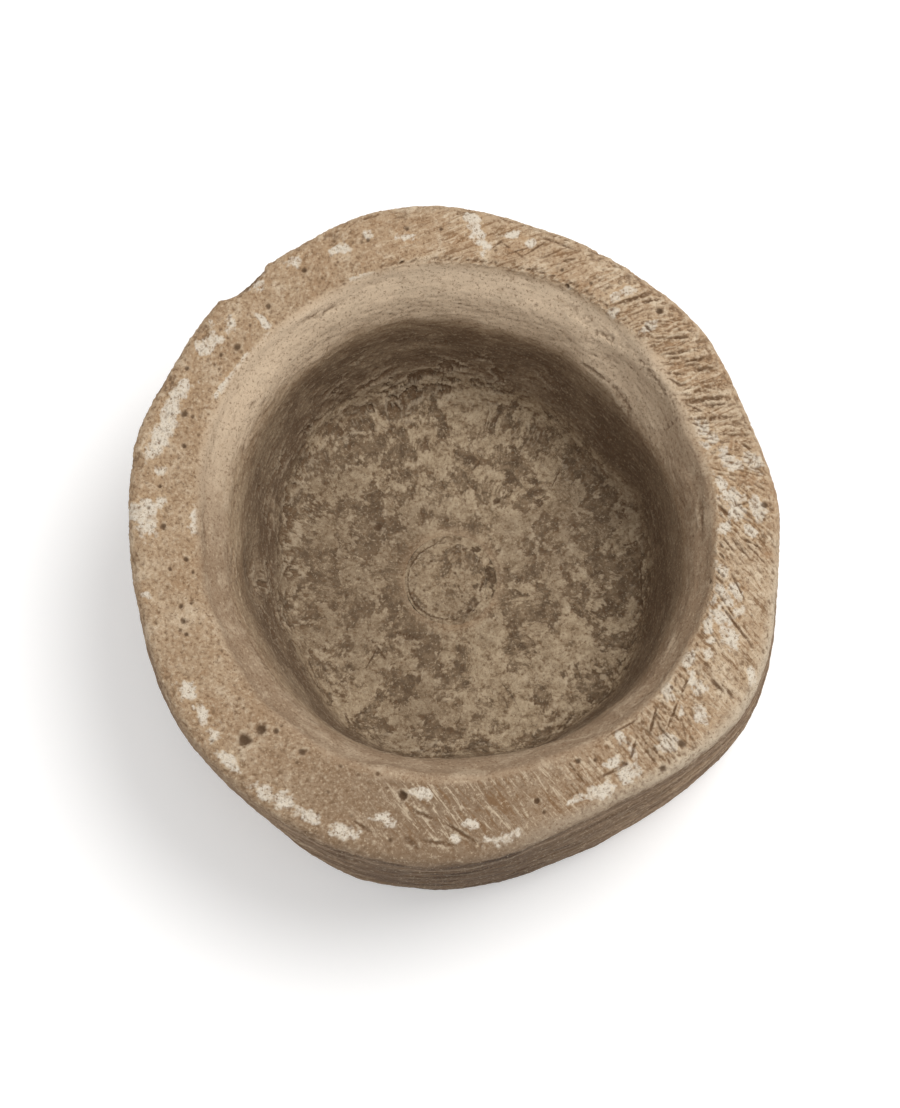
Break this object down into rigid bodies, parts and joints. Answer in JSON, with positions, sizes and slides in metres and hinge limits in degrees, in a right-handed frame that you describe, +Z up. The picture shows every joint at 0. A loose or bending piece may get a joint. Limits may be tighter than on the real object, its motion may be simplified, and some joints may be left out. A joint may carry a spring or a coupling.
{
  "type": "stone trough",
  "caption": "Round, deep, hand-hewn limestone trough with a thick dressed rim, a drawn-in basin and a plugged drain hole in its floor.",
  "frame": {"origin": "on the ground under the middle of the trough", "axes": "+Z up, +X to the right seen from the front, -Y towards the front"},
  "size_m": [0.6682, 0.6787, 0.3364],
  "materials": {
    "limestone": "rough, pick-dressed, weathered and matt",
    "mortar_plug": "trowelled, worn and matt",
    "bedding_mortar": "crumbly, dark and matt"
  },
  "bodies": {
    "root": {"trough_body": "limestone", "drain_plug": "mortar_plug", "plug_mortar_collar": "bedding_mortar"}
  },
  "joints": []
}
